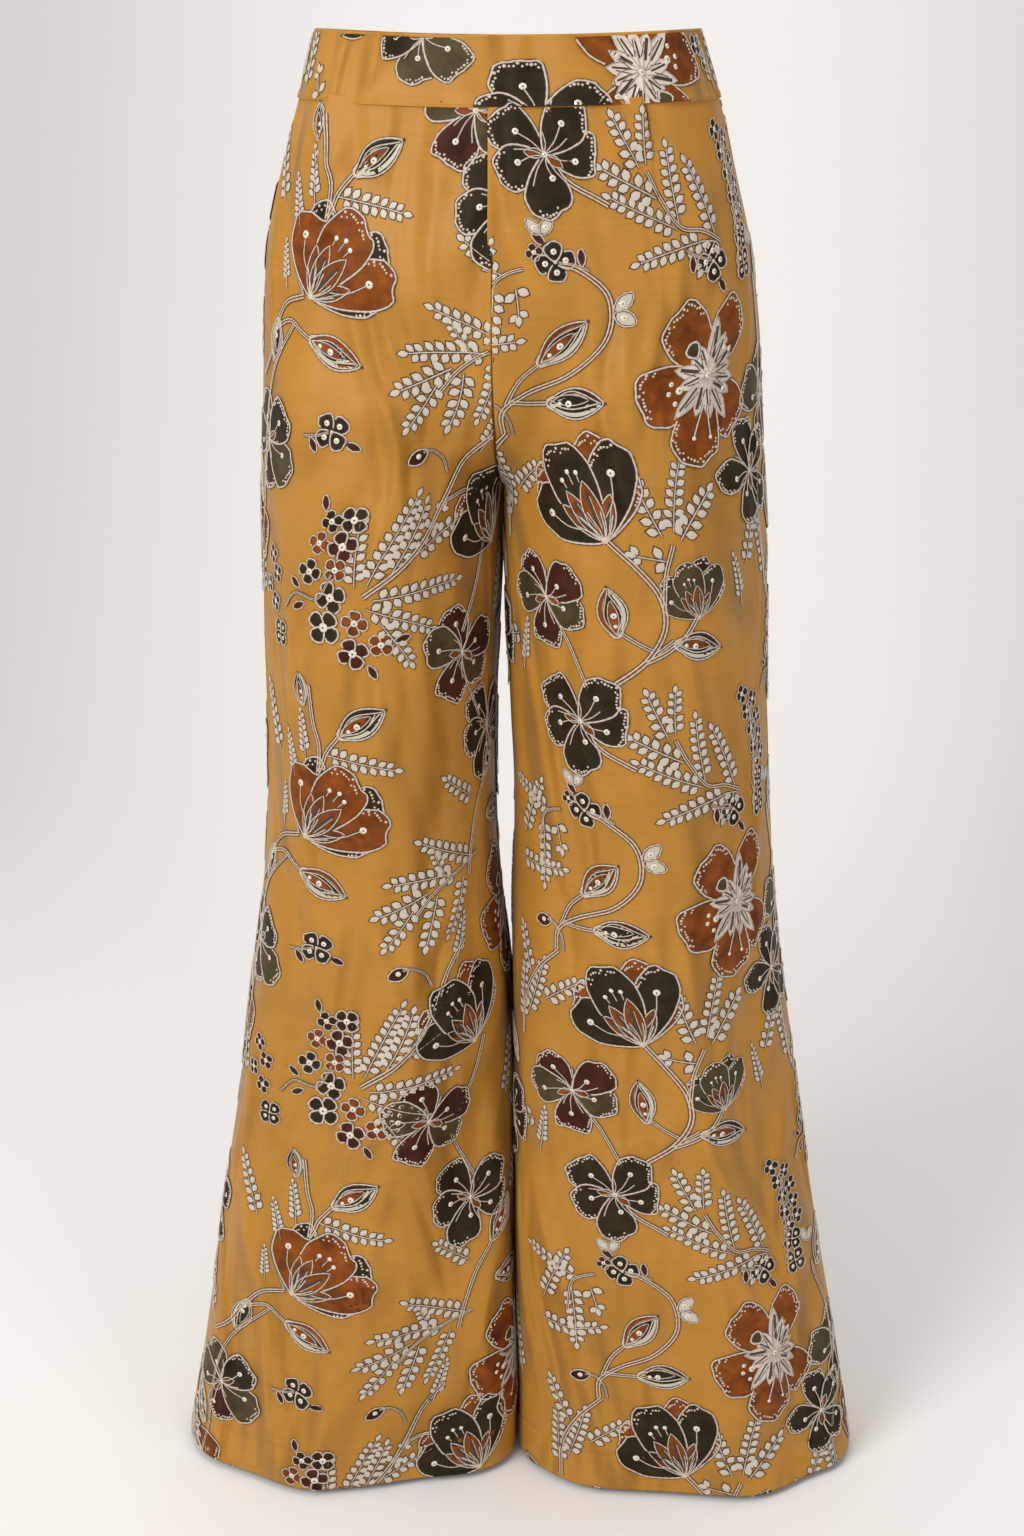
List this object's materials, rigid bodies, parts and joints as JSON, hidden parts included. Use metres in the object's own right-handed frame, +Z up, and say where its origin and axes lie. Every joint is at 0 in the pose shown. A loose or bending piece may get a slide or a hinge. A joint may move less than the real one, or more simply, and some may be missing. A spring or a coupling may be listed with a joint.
{
  "type": "palazzo pants",
  "caption": "High-waisted wide-leg floor-length trousers with a smooth waistband, mock fly, front tucks and flared legs, in embroidered silk, worn form with open waist and hems.",
  "frame": {"origin": "centre of the waist opening, level with its upper edge at the sides, where the wearer holds the garment", "axes": "+Z up the garment, -Y out of its front, +X towards the wearer's left"},
  "size_m": [0.5189, 0.2308, 1.0504],
  "materials": {
    "silk": "mustard silk twill, soft sheen, printed and embroidered with flowers, buds and ferns",
    "waistband": "the same silk, doubled and stiffened, smooth",
    "zip_tape": "fine woven tape, matt",
    "zip_metal": "small lacquered zip slider and pull"
  },
  "bodies": {
    "garment": {"front_waistband": "waistband", "back_waistband_left": "waistband", "back_waistband_right": "waistband", "front_leg_left": "silk", "front_leg_right": "silk", "back_leg_left": "silk", "back_leg_right": "silk", "zip_tape_left": "zip_tape", "zip_tape_right": "zip_tape", "zip_slider": "zip_metal"},
    "pull": {"zip_pull": "zip_metal"}
  },
  "joints": [
    {"name": "zip_pull_swing", "type": "hinge", "parent": "garment", "child": "pull", "pos_m": [-0.00651, 0.09149, -0.01495], "axis": [1, 0, 0], "range_deg": [0, 150]}
  ]
}
